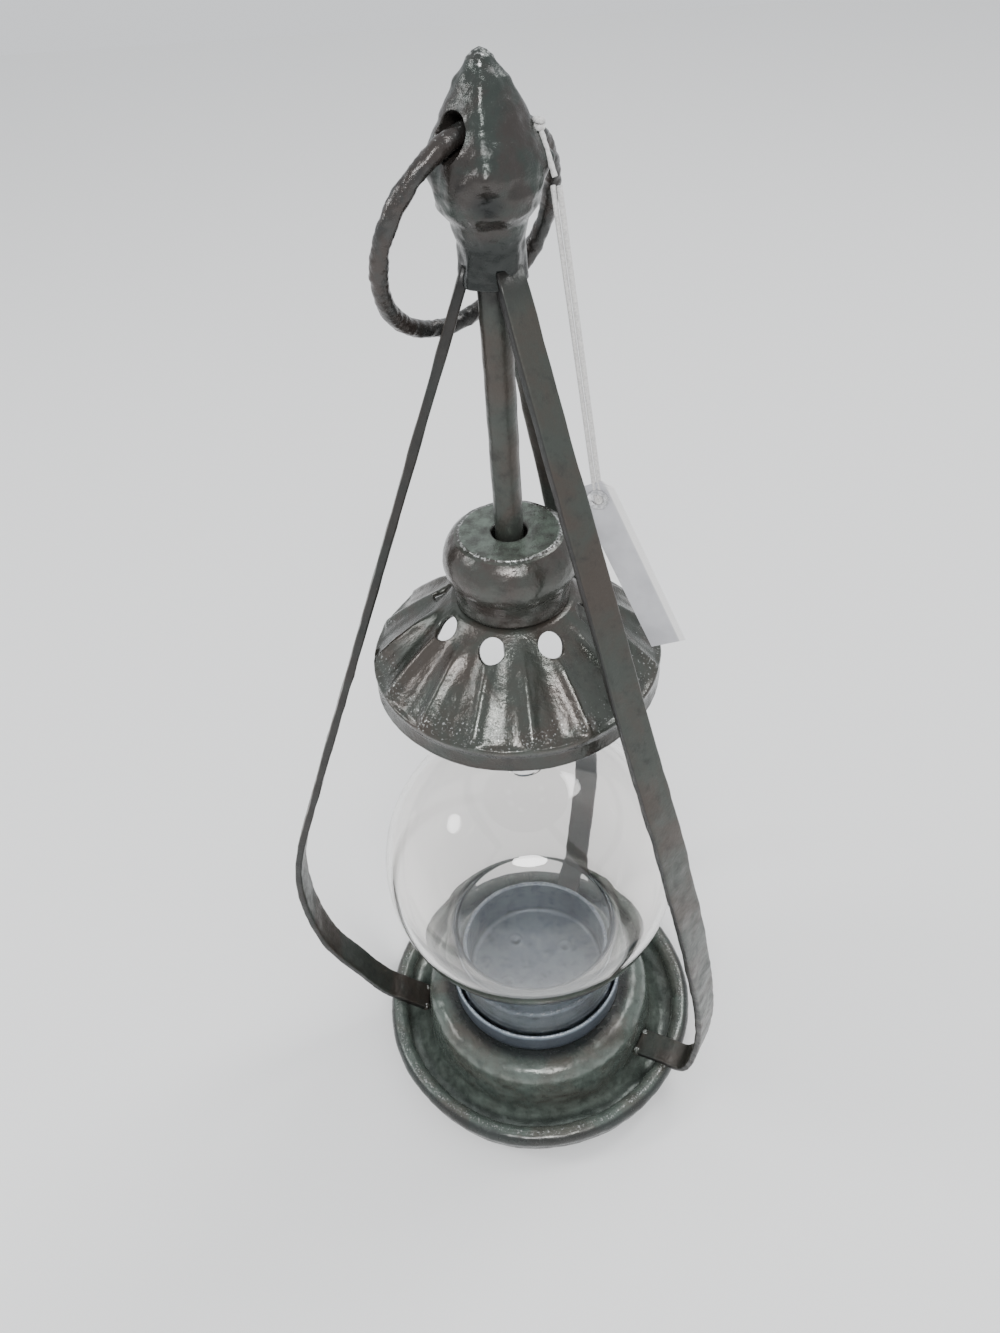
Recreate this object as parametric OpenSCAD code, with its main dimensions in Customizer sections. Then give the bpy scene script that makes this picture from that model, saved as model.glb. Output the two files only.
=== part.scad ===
// Hanging tealight lantern: a cast finial with a loose ring carries three strap
// arms, which hold a dish. A glass globe stands in a gallery round the candle
// cup, and a fluted hood slides on the rod above it.
// Millimetres, +Z up, origin at the centre of the dish's standing face.

/* [Base dish] */
// Radius over the rolled rim of the dish
dish_r = 46; // [45.5:0.1:46.5]
// Radius of the bead rolled round the rim
bead_r = 2.6; // [2.4:0.1:2.7]
// Height of the raised middle of the dish
crown_h = 21.5; // [20.5:0.1:22]
// Sheet thickness of the dish
dish_t = 1.2; // [1.1:0.1:1.3]

/* [Candle cup and gallery] */
// Inside radius of the candle cup
cup_r = 20.5; // [20.2:0.1:20.6]
// Height of the candle cup's lip above the standing face
cup_top = 37.1; // [36:0.1:38]
// Outside radius of the gallery that holds the globe
gallery_r = 24.7; // [24.6:0.1:25]
// Height of the gallery's wall above the standing face
gallery_top = 28.5; // [27.5:0.1:29]

/* [Glass globe] */
// Outside radius of the ball
globe_r = 37.6; // [36.5:0.1:38]
// Height of the ball's centre above the standing face
globe_z = 79.7; // [79:0.1:80.5]
// Outside radius of the collar under the ball
collar_r = 23.5; // [23.4:0.1:23.6]
// Glass thickness
glass_t = 1.5; // [1.4:0.1:1.6]
// Radius of the hole in the top of the ball
chimney_r = 4; // [3:0.5:5]

/* [Hood] */
// Radius of the hood's rim
hood_r = 30.5; // [29.5:0.1:30.5]
// Height of the hood's rim above the standing face
hood_z = 147.7; // [147.5:0.1:149]
// Radius of the hole that slides on the rod
guide_r = 3.4; // [3.3:0.1:3.6]
// Number of flutes pressed into the hood, two for each vent hole
flutes = 16; // [12:2:24]

/* [Straps and rod] */
// Width of a strap at its foot
strap_w = 8; // [7:0.1:8.5]
// Thickness of a strap
strap_t = 1.8; // [1.6:0.1:2]
// Directions of the left, right and back straps at the finial, degrees from +X
strap_az = [176, -54, 66];
// Directions of the same straps where they cross the rim of the dish
foot_az = [178, -30, 72];
// Radius of the centre rod
rod_r = 2.85; // [2.8:0.05:2.9]

/* [Finial and ring] */
// Height of the finial's tip above the standing face
tip_z = 264; // [262:0.5:266]
// Radius of the ring's centre line
ring_r = 17.5; // [17:0.1:18]
// Radius of the ring's wire
wire_r = 1.5; // [1.4:0.1:1.6]

/* [Hidden] */
$fn = 96;
eps = 0.01;

// dish: bead, valley and shoulder circles, with the straight wall between them
bead_c = [dish_r - bead_r, 8.4];
shoulder_rr = 5;
shoulder_c = [28, crown_h - shoulder_rr];
valley_rr = 5;
stand_flat = 0.35;
valley_c = [39, valley_rr + dish_t - stand_flat];

// straps, each bent by hand: their radii at five heights, then a straight foot over the rim
bend_z = [150, 110, 75, 45, 25];
bend_r = [[35.5, 50.5, 62, 61, 52], [40, 48.5, 51, 52.5, 51.5], [33.6, 47.6, 58, 62, 54]];
foot_slope = [40, 15, 20];
foot_past = 6.5;
foot_end_r = [34.7, 34.2, 34.3];
strap_gap = bead_r + strap_t / 2 + 0.02;
strap_top = [4, 234.5];
twist_low = 10;
twist_high = 169;
span_steps = 8;
strap_w_top = 5.2;
taper_low = 75;

// gallery and cup stand on the dish's crown, one on the other
gallery_floor = crown_h + 1;
gallery_wall = 0.8;
cup_floor = gallery_floor + 1;
cup_wall = 0.7;
lip_r = 0.7;
dimple_r = 2.4;
dimple_ring = 11;

// globe: fillet between the ball and its collar
globe_fillet = 6;
fillet_x = collar_r + globe_fillet;
fillet_y = sqrt(pow(globe_r + globe_fillet, 2) - fillet_x * fillet_x);
fillet_a = atan2(fillet_y, fillet_x);
globe_seat = gallery_floor + 0.2;

// hood: rim band, cone, crown flange and knob
band_h = 5.3;
hood_t = 1.2;
cone_foot = [hood_r - 0.7, hood_z + band_h];
cone_head = [12.5, hood_z + 20.3];
crown_top = cone_head[1];
knob_h = 15.5;
knob_round = 7.2;
knob_belly = 6;
knob_r = 13.4;
vent_r = 2.7;
vent_mid = 0.17;
vent_az = -62;
flute_r = 0.8;

// rod, stop washer and stop nut
rod_top = 238;
rod_end = 135.5;
washer_top = 143.4;
washer_t = 1;
washer_r = 6.3;
nut_h = 5;
nut_across = 10;

// finial: ridge outline as radius and height below the tip
neck_z = tip_z - 32;
bud = [[0, -32], [5.5, -32], [5.2, -26], [6.2, -22.8], [8.3, -20.2], [9.4, -17.8],
       [9.5, -15.2], [8.6, -12.2], [6.6, -8.4], [4.2, -4.2], [1.9, -1], [0, 0]];
core_k = 0.93;
ridge_t = 2;
nub_r = 1.2;
hole_z = tip_z - 9.5;
hole_az = 41;
hole_clear = 0.3;
ring_lean = 18.5;

// price tag: string from a knot on the right ridge, over the bud, to the card
knot_p = [7.9, 0, 254];
bud_p = [10, -2.4, 247.3];
eye_p = [16.4, -8, 195];
string_r = 0.45;
strand_gap = 0.75;
tie_l = 4;
tag_l = 38;
tag_w = 7;
tag_t = 0.6;
tag_lean = [0.406, -0.052, -0.912];
tag_turn = -15;
eyelet_r = 1.9;
eyelet_bore = 1.1;
tag_head = 3;

// part of a ring of mean radius r between two directions, in the plane
module arc_band(r, t, a0, a1) {
    far = 2 * (r + t);
    steps = 4;
    sector = [for (i = [0:steps]) let (a = a0 + (a1 - a0) * i / steps) far * [cos(a), sin(a)]];
    intersection() {
        difference() {
            circle(r + t / 2);
            circle(r - t / 2);
        }
        polygon(concat([[0, 0]], sector));
    }
}

// straight strip of thickness t between two points, in the plane
module strip(p, q, t) {
    d = q - p;
    translate(p) rotate(atan2(d[1], d[0])) translate([0, -t / 2]) square([norm(d), t]);
}

// cylinder of radius r between two points in space
module bar(p, q, r) {
    d = q - p;
    translate(p)
        rotate([0, acos(d[2] / norm(d)), atan2(d[1], d[0])])
            cylinder(r = r, h = norm(d), $fn = 24);
}

// tangent between the shoulder and the valley of the dish
dish_run = valley_c - shoulder_c;
dish_a = atan2(dish_run[1], dish_run[0])
       + acos((shoulder_rr + valley_rr) / norm(dish_run));
dish_n = [cos(dish_a), sin(dish_a)];

module dish_profile() {
    mid = dish_t / 2;
    translate([0, crown_h - dish_t]) square([shoulder_c[0] + eps, dish_t]);
    translate(shoulder_c) arc_band(shoulder_rr - mid, dish_t, dish_a - 1, 90);
    strip(shoulder_c + (shoulder_rr - mid) * dish_n,
          valley_c - (valley_rr + mid) * dish_n, dish_t);
    translate(valley_c) arc_band(valley_rr + mid, dish_t, dish_a + 179, 368);
    translate(bead_c) circle(bead_r);
}

module base_dish() {
    color("darkslategray")
    rotate_extrude()
    intersection() {
        dish_profile();
        square([dish_r + 1, crown_h + 1]);
    }
}

module gallery() {
    color("slategray")
    difference() {
        translate([0, 0, crown_h]) cylinder(r = gallery_r, h = gallery_top - crown_h);
        translate([0, 0, gallery_floor])
            cylinder(r = gallery_r - gallery_wall, h = gallery_top);
    }
}

module candle_cup() {
    outer_r = cup_r + cup_wall;
    color("lightsteelblue")
    difference() {
        union() {
            translate([0, 0, gallery_floor]) cylinder(r = outer_r, h = cup_top - gallery_floor);
            translate([0, 0, cup_top - lip_r])
                rotate_extrude() translate([outer_r - 0.2, 0]) circle(lip_r, $fn = 32);
        }
        translate([0, 0, cup_floor]) cylinder(r = cup_r, h = cup_top);
        for (a = [35:90:305])
            rotate(a) translate([dimple_ring, 0, cup_floor + dimple_r - 0.4])
                sphere(dimple_r, $fn = 32);
    }
}

function heading(a) = [cos(a), sin(a)];
function land_p(i) = bead_c + strap_gap * heading(foot_slope[i] + 90);
function foot_end(i, back) =
    let (reach = (land_p(i)[0] - foot_end_r[i]) / cos(foot_slope[i]))
    land_p(i) - (reach - back) * heading(foot_slope[i]);

// smooth line through points, with span_steps pieces between each two
function curve_at(a, b, c, d, t) =
    b + t / 2 * (c - a) + t * t / 2 * (2 * a - 5 * b + 4 * c - d) + t * t * t / 2 * (3 * b - a - 3 * c + d);
function smooth_line(p) =
    let (n = len(p), q = concat([2 * p[0] - p[1]], p, [2 * p[n - 1] - p[n - 2]]))
    concat([for (k = [1:n - 1], j = [0:span_steps - 1])
                curve_at(q[k - 1], q[k], q[k + 1], q[k + 2], j / span_steps)],
           [p[n - 1]]);

// side line of a strap from the finial to the foot's end, as radius and height
function strap_line(i) = smooth_line(concat(
    [strap_top],
    [for (k = [0:len(bend_z) - 1]) [bend_r[i][k], bend_z[k]]],
    [land_p(i) + foot_past * heading(foot_slope[i]), land_p(i), foot_end(i, 0)]));

// a strap turns sideways between the rim and the middle of the globe
function turn_at(i, z) =
    let (t = min(1, max(0, (z - twist_low) / (twist_high - twist_low))))
    foot_az[i] + (strap_az[i] - foot_az[i]) * (1 - cos(180 * t)) / 2;
function width_at(z) =
    strap_w + (strap_w_top - strap_w) * max(0, z - taper_low) / (strap_top[1] - taper_low);

// the four corners of a strap's section at point p, where the line runs from a to b
function strap_corners(i, p, a, b) =
    let (az = turn_at(i, p[1]), half_w = width_at(p[1]) / 2, run = b - a,
         out = strap_t / 2 / norm(run) * [-run[1], run[0]])
    [for (c = [[-1, -1], [1, -1], [1, 1], [-1, 1]])
        let (r = p[0] + c[1] * out[0], s = c[0] * half_w)
        [r * cos(az) - s * sin(az), r * sin(az) + s * cos(az), p[1] + c[1] * out[1]]];

module strap(i) {
    line = strap_line(i);
    n = len(line) - 1;
    last = 4 * n;
    points = [for (k = [0:n])
        each strap_corners(i, line[k], line[max(0, k - 1)], line[min(n, k + 1)])];
    sides = [for (k = [0:4:last - 4], j = [0:3])
        let (a = k + j, b = k + (j + 1) % 4)
        each [[a, b, b + 4], [a, b + 4, a + 4]]];
    color("dimgray")
    polyhedron(points, concat([[3, 2, 1, 0], [last, last + 1, last + 2, last + 3]], sides));
}

module strap_left() { strap(0); }
module strap_right() { strap(1); }
module strap_back() { strap(2); }

// weld blobs that join the end of each strap to the dish
module foot_welds() {
    weld_r = 1.4;
    weld_back = 0.6;
    color("gray")
    for (i = [0:2], side = [-1, 1]) {
        weld_p = foot_end(i, weld_back);
        rotate(foot_az[i]) translate([weld_p[0], side * (strap_w / 2 - 1), weld_p[1]])
            sphere(weld_r, $fn = 32);
    }
}

module centre_rod() {
    color("dimgray")
    translate([0, 0, rod_end]) cylinder(r = rod_r, h = rod_top - rod_end);
}

module stop_washer() {
    color("gray")
    translate([0, 0, washer_top - washer_t])
    difference() {
        cylinder(r = washer_r, h = washer_t);
        translate([0, 0, -1]) cylinder(r = rod_r, h = washer_t + 2);
    }
}

module stop_nut() {
    color("gray")
    translate([0, 0, washer_top - washer_t - nut_h])
    difference() {
        cylinder(r = nut_across / 2 / cos(30), h = nut_h, $fn = 6);
        translate([0, 0, -1]) cylinder(r = rod_r, h = nut_h + 2);
    }
}

// hole whose mouths flare, so that the ring clears it at every angle
module ring_hole() {
    inner_r = ring_r - wire_r;
    throat = wire_r + hole_clear;
    translate([0, 0, hole_z]) rotate([90, 0, hole_az + 90])
        rotate_extrude()
        difference() {
            translate([0, -inner_r * 0.75]) square([throat + inner_r * 0.35, inner_r * 1.5]);
            translate([throat + inner_r, 0]) circle(inner_r);
        }
}

module finial() {
    color("darkslategray")
    difference() {
        translate([0, 0, tip_z]) {
            rotate_extrude() polygon([for (p = bud) [p[0] * (p[1] < -25 ? 1 : core_k), p[1]]]);
            for (a = [0:90:270]) rotate(a) {
                rotate([90, 0, 0]) linear_extrude(ridge_t, center = true) polygon(bud);
                translate([bud[5][0] - 0.3, 0, bud[5][1]]) sphere(nub_r, $fn = 32);
            }
        }
        ring_hole();
    }
}

module hanging_ring() {
    color("dimgray")
    translate([0, 0, hole_z])
    rotate(hole_az + 90) rotate([0, -ring_lean, 0]) translate([0, 0, -ring_r])
        rotate([0, 90, 0]) rotate_extrude() translate([ring_r, 0]) circle(wire_r, $fn = 48);
}

module hood_skirt() {
    slope = cone_head - cone_foot;
    slope_n = [slope[1], -slope[0]] / norm(slope);
    vent_p = cone_head - vent_mid * slope;
    vent_a = atan2(slope_n[0], slope_n[1]);
    color("darkolivegreen")
    difference() {
        union() {
            rotate_extrude() {
                strip(cone_head - hood_t / 2 * slope_n, cone_foot - hood_t / 2 * slope_n, hood_t);
                translate([hood_r - hood_t, hood_z]) square([hood_t, band_h]);
                translate([0, crown_top - hood_t])
                    square([cone_head[0] - 0.2, hood_t]);
            }
            for (i = [0:flutes - 1])
                rotate(vent_az + i * 360 / flutes)
                    bar([cone_foot[0] - 1.4, 0, cone_foot[1] + 1.5],
                        [cone_head[0] + 1.2, 0, cone_head[1] - 1.4], flute_r);
        }
        translate([0, 0, hood_z]) cylinder(r = guide_r, h = crown_top);
        for (i = [0:flutes / 2 - 1])
            rotate(vent_az + i * 720 / flutes)
                translate([vent_p[0], 0, vent_p[1]]) rotate([0, vent_a, 0])
                    cylinder(r = vent_r, h = 6, center = true);
    }
}

module hood_knob() {
    base_r = 11.5;
    knob_top = crown_top + knob_h;
    belly_z = knob_top - knob_belly;
    color("darkseagreen")
    rotate_extrude()
    difference() {
        union() {
            translate([0, crown_top]) square([base_r, belly_z - crown_top]);
            translate([0, belly_z - knob_belly]) square([knob_r - knob_round, 2 * knob_belly]);
            intersection() {
                translate([knob_r - knob_round, belly_z]) circle(knob_round);
                translate([0, crown_top]) square([knob_r, knob_h]);
            }
        }
        translate([0, crown_top - 1]) square([guide_r, knob_h + 2]);
    }
}

module glass_globe() {
    mid = glass_t / 2;
    low = globe_seat - globe_z;
    color("lightcyan", 0.35)
    translate([0, 0, globe_z])
    rotate_extrude() {
        difference() {
            arc_band(globe_r - mid, glass_t, -fillet_a - 0.1, 90);
            translate([-1, 0]) square([chimney_r + 1, globe_r + 1]);
        }
        translate([fillet_x, -fillet_y])
            arc_band(globe_fillet + mid, glass_t, 179.5 - fillet_a, 180.5);
        translate([collar_r - glass_t, low]) square([glass_t, -fillet_y + eps - low]);
    }
}

// string from its knot on the finial to the edge of the bud
module string_knot() {
    color("white") {
        translate(knot_p) sphere(1.1, $fn = 32);
        bar(knot_p, bud_p, string_r);
    }
}

tie_p = eye_p + tie_l * (bud_p - eye_p) / norm(bud_p - eye_p);
top_gap = (bud_p - eye_p) / norm(bud_p - eye_p);
string_top = bud_p - 1.2 * top_gap;

module tag_string() {
    spread = strand_gap * [cos(tag_turn), sin(tag_turn), 0];
    color("white") {
        for (s = [-1, 1]) bar(string_top + s * spread, tie_p, string_r);
        translate(tie_p) sphere(0.9, $fn = 32);
        bar(tie_p, eye_p + (eyelet_bore + 0.3) * top_gap, string_r);
    }
}

// places a card that lies in its own XZ plane, hanging down from the eye
module hang_tag() {
    lean_a = atan2(tag_lean[0], -tag_lean[2]);
    translate(eye_p) rotate(tag_turn) rotate([0, -lean_a, 0]) children();
}

module swing_tag() {
    corner = 1.6;
    color("gainsboro")
    hang_tag()
    rotate([90, 0, 0]) linear_extrude(tag_t, center = true)
    difference() {
        polygon([[-tag_w / 2, tag_head - tag_l], [tag_w / 2, tag_head - tag_l],
                 [tag_w / 2, tag_head - corner], [tag_w / 2 - corner, tag_head],
                 [corner - tag_w / 2, tag_head], [-tag_w / 2, tag_head - corner]]);
        circle(eyelet_r - 0.3);
    }
}

module tag_eyelet() {
    rim_t = 0.35;
    color("silver")
    hang_tag()
    rotate([90, 0, 0])
    difference() {
        union() {
            cylinder(r = eyelet_r - 0.3, h = tag_t, center = true);
            for (s = [-1, 1])
                translate([0, 0, s * (tag_t + rim_t) / 2])
                    cylinder(r = eyelet_r, h = rim_t, center = true);
        }
        cylinder(r = eyelet_bore, h = 3, center = true);
    }
}

base_dish();
gallery();
candle_cup();
foot_welds();
strap_left();
strap_right();
strap_back();
centre_rod();
stop_washer();
stop_nut();
finial();
string_knot();
hanging_ring();
hood_skirt();
hood_knob();
glass_globe();
tag_string();
swing_tag();
tag_eyelet();
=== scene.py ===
import math
import bmesh
import bpy
import numpy as np
from mathutils import Matrix, Vector, noise


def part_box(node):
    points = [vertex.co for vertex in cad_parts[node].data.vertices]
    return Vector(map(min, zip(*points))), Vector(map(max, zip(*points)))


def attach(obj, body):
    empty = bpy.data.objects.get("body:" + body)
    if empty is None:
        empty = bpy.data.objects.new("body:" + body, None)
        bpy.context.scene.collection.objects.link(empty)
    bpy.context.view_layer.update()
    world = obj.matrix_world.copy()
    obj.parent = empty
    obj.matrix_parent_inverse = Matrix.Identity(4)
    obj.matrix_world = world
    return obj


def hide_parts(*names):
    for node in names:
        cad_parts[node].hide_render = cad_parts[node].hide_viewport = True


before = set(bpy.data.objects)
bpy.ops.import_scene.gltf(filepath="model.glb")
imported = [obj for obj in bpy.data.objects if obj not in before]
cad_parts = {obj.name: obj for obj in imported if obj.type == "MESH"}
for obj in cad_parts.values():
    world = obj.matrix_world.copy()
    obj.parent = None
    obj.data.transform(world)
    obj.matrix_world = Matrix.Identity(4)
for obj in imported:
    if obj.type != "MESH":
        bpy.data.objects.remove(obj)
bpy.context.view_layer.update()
MM = 0.001
TAU = 2 * math.pi


# ---------------------------------------------------------------- sizes, in millimetres, from the frame

def span(node):
    """Radius from the lantern's axis, lowest and highest z of a node, in mm."""
    low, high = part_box(node)
    return max(high.x, -low.x) / MM, low.z / MM, high.z / MM


DISH_R, _, CROWN_Z = span("base_dish")
GALLERY_R, _, GALLERY_TOP = span("gallery")
CUP_OUT_R, CUP_FOOT, CUP_TOP = span("candle_cup")
GLOBE_R, GLOBE_FOOT, GLOBE_TOP = span("glass_globe")
HOOD_R, HOOD_Z, HOOD_TOP = span("hood_skirt")
KNOB_R, KNOB_FOOT, KNOB_TOP = span("hood_knob")
ROD_R, ROD_FOOT, ROD_TOP = span("centre_rod")
_, NECK_Z, TIP_Z = span("finial")

# dish section
BEAD_R = 2.6
BEAD = (DISH_R - BEAD_R, 8.4)
SHEET = 1.2
SHOULDER = (28, CROWN_Z - 5)
VALLEY = (39, 5.85)
BEND_IN_R = 5

# cup, gallery and globe
CUP_R = 20.5
CUP_FLOOR = CUP_FOOT + 1
GALLERY_IN_R = GALLERY_R - 0.8
GALLERY_FLOOR = CROWN_Z + 1
GLASS = 1.5
COLLAR_R = 23.5
FILLET = 6
CHIMNEY_R = 4
CHIMNEY_A = math.acos(CHIMNEY_R / GLOBE_R)
GLOBE_Z = GLOBE_TOP - GLOBE_R * math.sin(CHIMNEY_A)

# straps, bent by hand: direction at the finial and at the rim, slope of the foot, radius of the foot's end,
# and the radii at the heights BEND_Z
STRAPS = {
    "strap_left": (176, 178, 40, 34.7, (35.5, 50.5, 62, 61, 52)),
    "strap_right": (-54, -30, 15, 34.2, (40, 48.5, 51, 52.5, 51.5)),
    "strap_back": (66, 72, 20, 34.3, (33.6, 47.6, 58, 62, 54)),
}
BEND_Z = (150, 110, 75, 45, 25)
FOOT_PAST = 6.5
TWIST_LOW, TWIST_HIGH = 10, 169
TAPER_LOW = 75
STRAP_T = 1.8
STRAP_W = 8
STRAP_W_TOP = 5.2
STRAP_TOP = (4, 234.5)

# ring and finial
HOLE_Z = TIP_Z - 9.5
HOLE_AZ = 41
RING_R = 17.5
WIRE_R = 1.5
RING_LEAN = 18.5

# tag and string
BUD_P = Vector((10, -2.4, 247.3))
EYE_P = Vector((16.4, -8, 195))
KNOT_P = Vector((7.9, 0, 254))
STRING_R = 0.45


# ---------------------------------------------------------------- camera

def make_camera():
    """Looks down at the lantern from close by, as the photograph does."""
    place = Vector((4.636, -158.448, 294.907)) * MM
    pitch, yaw, roll = (math.radians(a) for a in (42.84, -3.06, -4.53))
    ahead = Vector((math.sin(yaw) * math.cos(pitch), math.cos(yaw) * math.cos(pitch), -math.sin(pitch)))
    level = ahead.cross(Vector((0, 0, 1))).normalized()
    upright = level.cross(ahead)
    right = level * math.cos(roll) + upright * math.sin(roll)
    up = upright * math.cos(roll) - level * math.sin(roll)
    data = bpy.data.cameras.new("camera")
    data.sensor_width = 36
    data.lens = 27.0
    data.clip_start = 0.005
    camera = bpy.data.objects.new("camera", data)
    camera.matrix_world = Matrix.Translation(place) @ Matrix((right, up, -ahead)).transposed().to_4x4()
    bpy.context.scene.collection.objects.link(camera)
    bpy.context.scene.camera = camera


make_camera()


# ---------------------------------------------------------------- mesh tools

def new_object(name, points, faces):
    """A smooth shaded mesh from points in millimetres."""
    mesh = bpy.data.meshes.new(name)
    mesh.from_pydata((np.asarray(points, float) * MM).tolist(), [], faces)
    mesh.update()
    mesh.polygons.foreach_set("use_smooth", [True] * len(mesh.polygons))
    thing = bpy.data.objects.new(name, mesh)
    bpy.context.scene.collection.objects.link(thing)
    return thing


def rings_to_mesh(name, rings, loop=False):
    """Joins closed rings of points one after another. The ends are joined too, or closed with a fan."""
    rings = np.asarray(rings, float)
    rows, cols = rings.shape[:2]
    faces = []
    for i in range(rows if loop else rows - 1):
        a, b = i * cols, (i + 1) % rows * cols
        for j in range(cols):
            k = (j + 1) % cols
            faces.append((a + j, a + k, b + k, b + j))
    points = rings.reshape(-1, 3).tolist()
    if not loop:
        for row, flip in ((0, True), (rows - 1, False)):
            hub = len(points)
            points.append(rings[row].mean(0).tolist())
            for j in range(cols):
                pair = (row * cols + j, row * cols + (j + 1) % cols)
                faces.append((hub, pair[1], pair[0]) if flip else (hub, *pair))
    return new_object(name, points, faces)


def arc(centre, radius, start, end, steps):
    """Points on an arc, angles in degrees."""
    angles = np.radians(np.linspace(start, end, steps))
    return [(centre[0] + radius * math.cos(a), centre[1] + radius * math.sin(a)) for a in angles]


def evenly(outline, step):
    """The outline with a point about every step, and its corners kept."""
    result = []
    for p, q in zip(outline, outline[1:]):
        count = max(1, round(math.dist(p, q) / step))
        result += [(p[0] + (q[0] - p[0]) * i / count, p[1] + (q[1] - p[1]) * i / count) for i in range(count)]
    return result + [outline[-1]]


def direction(line, i):
    """Direction of a line at its point i."""
    return (line[min(i + 1, len(line) - 1)] - line[max(i - 1, 0)]).normalized()


def lathe(name, outline, turns, loop=False, shape=None):
    """Turns an outline of (radius, height) round the axis. shape(radius, height, angle) gives each point's
    moved radius and height."""
    angles = np.linspace(0, TAU, turns, endpoint=False)
    rings = []
    for r, z in outline:
        moved = [shape(r, z, a) for a in angles] if shape else [(r, z)] * turns
        rings.append([(p[0] * math.cos(a), p[0] * math.sin(a), p[1]) for p, a in zip(moved, angles)])
    thing = rings_to_mesh(name, rings, loop)
    face_outwards(thing)
    return thing


def face_outwards(thing):
    """Turns every face of a closed mesh outwards."""
    work = bmesh.new()
    work.from_mesh(thing.data)
    bmesh.ops.recalc_face_normals(work, faces=work.faces)
    work.to_mesh(thing.data)
    work.free()


def hammered(thing, depth, size, seed, only=None):
    """Moves the points along their normals by smooth noise: depth in mm, size of a dent in mm.
    only(point in mm) scales the depth."""
    mesh = thing.data
    offset = Vector((seed * 17.3, seed * 5.1, seed * 9.7))
    normals = [v.normal.copy() for v in mesh.vertices]
    for vertex, normal in zip(mesh.vertices, normals):
        p = vertex.co / MM
        amount = depth * noise.noise(p / size + offset)
        if only:
            amount *= only(p)
        vertex.co += normal * (amount * MM)
    mesh.update()


def paint(thing, name, value):
    """Stores value(point in mm, normal), from 0 to 1, on the points for the materials to read."""
    layer = thing.data.attributes.new(name, "FLOAT", "POINT")
    numbers = [min(1.0, max(0.0, value(v.co / MM, v.normal))) for v in thing.data.vertices]
    layer.data.foreach_set("value", numbers)


def settle(thing):
    """Applies the modifiers of a piece."""
    graph = bpy.context.evaluated_depsgraph_get()
    solid = bpy.data.meshes.new_from_object(thing.evaluated_get(graph))
    thing.modifiers.clear()
    thing.data = solid
    solid.polygons.foreach_set("use_smooth", [True] * len(solid.polygons))


def cut(thing, cutters):
    """Takes the cutters away from a piece."""
    for cutter in cutters:
        step = thing.modifiers.new("cut", "BOOLEAN")
        step.operation = "DIFFERENCE"
        step.solver = "EXACT"
        step.object = cutter
    settle(thing)
    for cutter in cutters:
        bpy.data.objects.remove(cutter)


def smoothstep(low, high, x):
    """0 below low, 1 above high and a smooth rise between."""
    t = min(1.0, max(0.0, (x - low) / (high - low)))
    return t * t * (3 - 2 * t)


def bump(x, width):
    """1 at x = 0, falling smoothly to 0 a few widths away."""
    return math.exp(-(x / width) ** 2)


def turn_from(angle, target):
    """Signed difference between two angles in radians, from -pi to pi."""
    return (angle - target + math.pi) % TAU - math.pi


# ---------------------------------------------------------------- materials

class Look:
    """A node material with short ways to add and join nodes."""

    def __init__(self, name):
        self.material = bpy.data.materials.new(name)
        self.material.use_nodes = True
        self.nodes = self.material.node_tree.nodes
        self.links = self.material.node_tree.links
        self.shader = self.nodes["Principled BSDF"]
        self.place = self.add("ShaderNodeTexCoord").outputs["Object"]

    def add(self, kind, inputs=None, **settings):
        node = self.nodes.new(kind)
        for key, value in settings.items():
            setattr(node, key, value)
        for key, value in (inputs or {}).items():
            if isinstance(value, bpy.types.NodeSocket):
                self.links.new(value, node.inputs[key])
            else:
                node.inputs[key].default_value = value
        return node

    def noise(self, size, detail=4, roughness=0.55, distortion=0.0):
        """Noise whose features are about size mm across."""
        node = self.add("ShaderNodeTexNoise", {
            "Vector": self.place, "Scale": 1 / (size * MM), "Detail": detail,
            "Roughness": roughness, "Distortion": distortion})
        return node.outputs["Fac"]

    def ramp(self, value, low, high, start=0.0, end=1.0):
        node = self.add("ShaderNodeMapRange", {
            "Value": value, "From Min": low, "From Max": high, "To Min": start, "To Max": end})
        node.interpolation_type = "SMOOTHSTEP"
        return node.outputs["Result"]

    def math(self, operation, a, b=0.0):
        node = self.add("ShaderNodeMath", operation=operation)
        for socket, value in zip(node.inputs, (a, b)):
            if isinstance(value, bpy.types.NodeSocket):
                self.links.new(value, socket)
            else:
                socket.default_value = value
        return node.outputs[0]

    def mix(self, factor, a, b):
        node = self.add("ShaderNodeMix", data_type="RGBA")
        for key, value in (("Factor", factor), ("A", a), ("B", b)):
            kind = "VALUE" if key == "Factor" else "RGBA"
            socket = next(s for s in node.inputs if s.name == key and s.type == kind)
            if isinstance(value, bpy.types.NodeSocket):
                self.links.new(value, socket)
            else:
                socket.default_value = value if key == "Factor" else (*value, 1)
        return next(s for s in node.outputs if s.type == "RGBA")

    def stored(self, name):
        """A value that paint() stored on the piece."""
        return self.add("ShaderNodeAttribute", attribute_name=name).outputs["Fac"]

    def bumpy(self, height, depth, normal=None):
        """Bump of a height from 0 to 1, depth in mm."""
        inputs = {"Height": height, "Distance": depth * MM, "Strength": 1.0}
        if normal:
            inputs["Normal"] = normal
        return self.add("ShaderNodeBump", inputs).outputs["Normal"]

    def set(self, **inputs):
        for key, value in inputs.items():
            socket = self.shader.inputs[key.replace("_", " ")]
            if isinstance(value, bpy.types.NodeSocket):
                self.links.new(value, socket)
            else:
                socket.default_value = (*value, 1) if isinstance(value, tuple) else value


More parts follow.
